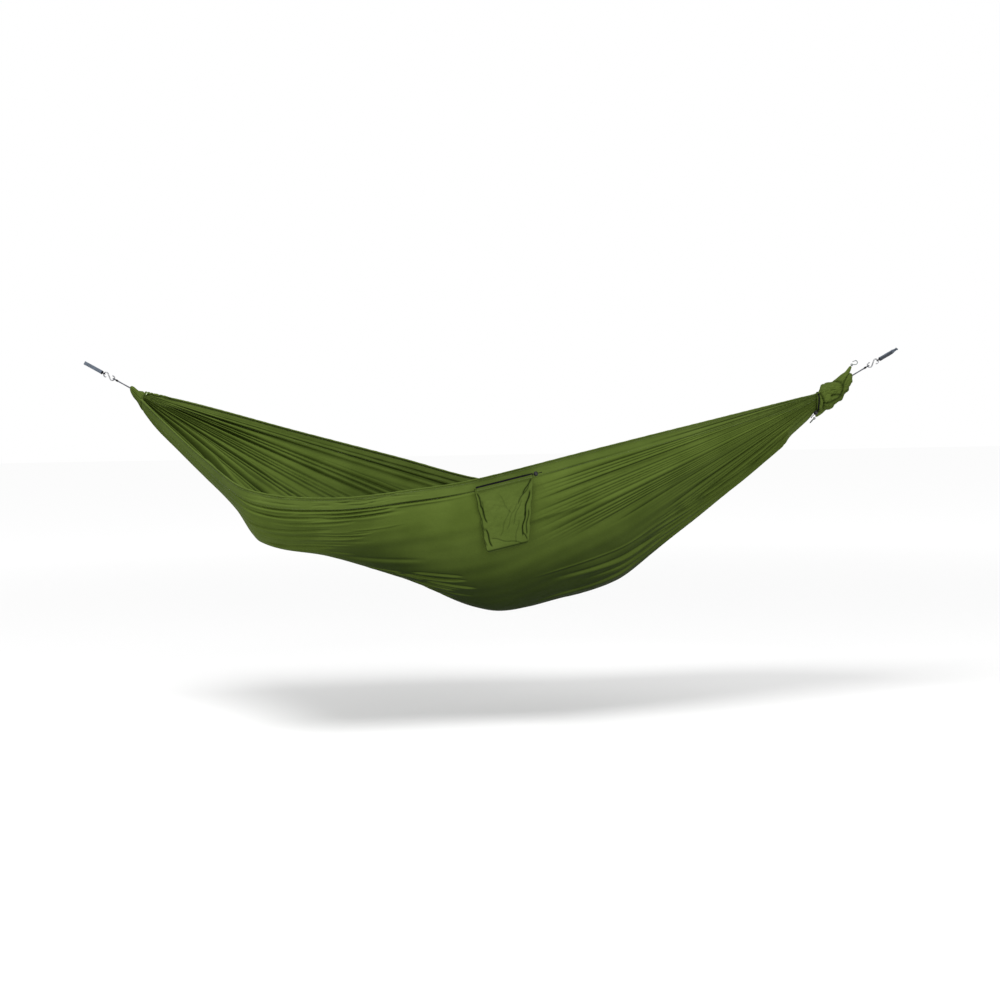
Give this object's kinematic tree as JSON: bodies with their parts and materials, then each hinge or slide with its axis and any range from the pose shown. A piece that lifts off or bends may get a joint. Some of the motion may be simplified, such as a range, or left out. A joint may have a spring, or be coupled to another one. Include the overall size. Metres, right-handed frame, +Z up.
{
  "type": "camping hammock",
  "caption": "Gathered-end camping hammock: nylon bed on two rope ends, S-hooks and webbing straps, with a side pocket and a stowed storage sleeve.",
  "frame": {"origin": "centre of the left anchor eye", "axes": "+X from the left anchor eye to the right one, +Z up, -Y towards the near side with the pocket"},
  "size_m": [3.0018, 0.9741, 0.9402],
  "materials": {
    "green_taffeta": "satin",
    "green_taffeta_band": "satin",
    "green_thread": "matte",
    "dark_rope": "matte",
    "black_webbing": "matte",
    "grey_webbing": "matte",
    "dark_webbing": "matte",
    "bright_steel": "polished",
    "black_cord": "matte",
    "black_plastic": "satin",
    "grey_plastic": "satin",
    "spring_steel": "satin",
    "black_elastic": "matte",
    "green_wire": "gloss"
  },
  "bodies": {
    "left_anchor": {"left_strap_eye": "grey_webbing"},
    "hammock": {"centre_panel": "green_taffeta", "front_edge_band": "green_taffeta_band", "back_edge_band": "green_taffeta_band", "left_end_channel": "green_taffeta_band", "right_end_channel": "green_taffeta_band", "channel_bartack": "green_thread", "rim_bartack": "green_thread", "left_rope": "dark_rope", "right_rope": "dark_rope", "left_rope_whipping": "black_webbing", "right_rope_whipping": "black_webbing", "left_strap_loop": "black_webbing", "right_strap_loop": "black_webbing", "left_strap": "grey_webbing", "right_strap": "grey_webbing", "right_strap_tail": "dark_webbing", "stash_pocket": "green_taffeta", "pocket_hem": "green_taffeta_band", "pocket_drawcord": "black_cord", "storage_sleeve": "green_taffeta", "sleeve_elastic": "black_elastic", "upper_hook_loop": "black_cord", "lower_hook_loop": "black_cord"},
    "left_hook": {"left_s_hook": "bright_steel"},
    "right_hook": {"right_s_hook": "bright_steel"},
    "right_anchor": {"right_strap_eye": "grey_webbing"},
    "pocket_lock": {"pocket_lock_body": "black_plastic", "pocket_lock_spring": "spring_steel"},
    "pocket_button": {"pocket_lock_button": "grey_plastic"},
    "sleeve_lock": {"sleeve_lock_body": "black_plastic", "sleeve_lock_spring": "spring_steel"},
    "sleeve_button": {"sleeve_lock_button": "grey_plastic"},
    "upper_hook": {"upper_hook": "green_wire"},
    "lower_hook": {"lower_hook": "green_wire"}
  },
  "joints": [
    {"name": "swing", "type": "hinge", "parent": "left_anchor", "child": "hammock", "pos_m": [0, 0, 0], "axis": [1, 0, 0], "range_deg": [-30, 30]},
    {"name": "right_eye_hold", "type": "hinge", "parent": "hammock", "child": "right_anchor", "pos_m": [2.985, 0, 0], "axis": [1, 0, 0], "range_deg": [-30, 30]},
    {"name": "left_hook_tilt", "type": "hinge", "parent": "hammock", "child": "left_hook", "pos_m": [0.10219, 0, -0.059], "axis": [0, 1, 0], "range_deg": [-5, 5]},
    {"name": "right_hook_tilt", "type": "hinge", "parent": "hammock", "child": "right_hook", "pos_m": [2.88281, 0, -0.059], "axis": [0, 1, 0], "range_deg": [-5, 5]},
    {"name": "pocket_lock_slide", "type": "slide", "parent": "hammock", "child": "pocket_lock", "axis": [0.9637, 0.158, 0.2153], "range_m": [0, 0.007]},
    {"name": "pocket_lock_press", "type": "slide", "parent": "pocket_lock", "child": "pocket_button", "axis": [-0.1828, 0.978, 0.1004], "range_m": [0, 0.002], "stiffness_N_per_m": 400, "springref_m": -0.003, "deforming": ["pocket_lock_spring"]},
    {"name": "sleeve_lock_slide", "type": "slide", "parent": "hammock", "child": "sleeve_lock", "axis": [-0.7199, -0.1001, -0.6869], "range_m": [0, 0.012]},
    {"name": "sleeve_lock_press", "type": "slide", "parent": "sleeve_lock", "child": "sleeve_button", "axis": [-0.1377, 0.9905, 0], "range_m": [0, 0.002], "stiffness_N_per_m": 400, "springref_m": -0.003, "deforming": ["sleeve_lock_spring"]},
    {"name": "upper_hook_swing", "type": "hinge", "parent": "hammock", "child": "upper_hook", "pos_m": [2.817, 0, -0.057], "axis": [0, 1, 0], "range_deg": [-30, 30]},
    {"name": "lower_hook_swing", "type": "hinge", "parent": "hammock", "child": "lower_hook", "pos_m": [2.6775, 0, -0.2515], "axis": [0, 1, 0], "range_deg": [-45, 15]}
  ],
  "couplings": [
    {"joint": "right_eye_hold", "follows": "swing", "ratio": -1}
  ]
}
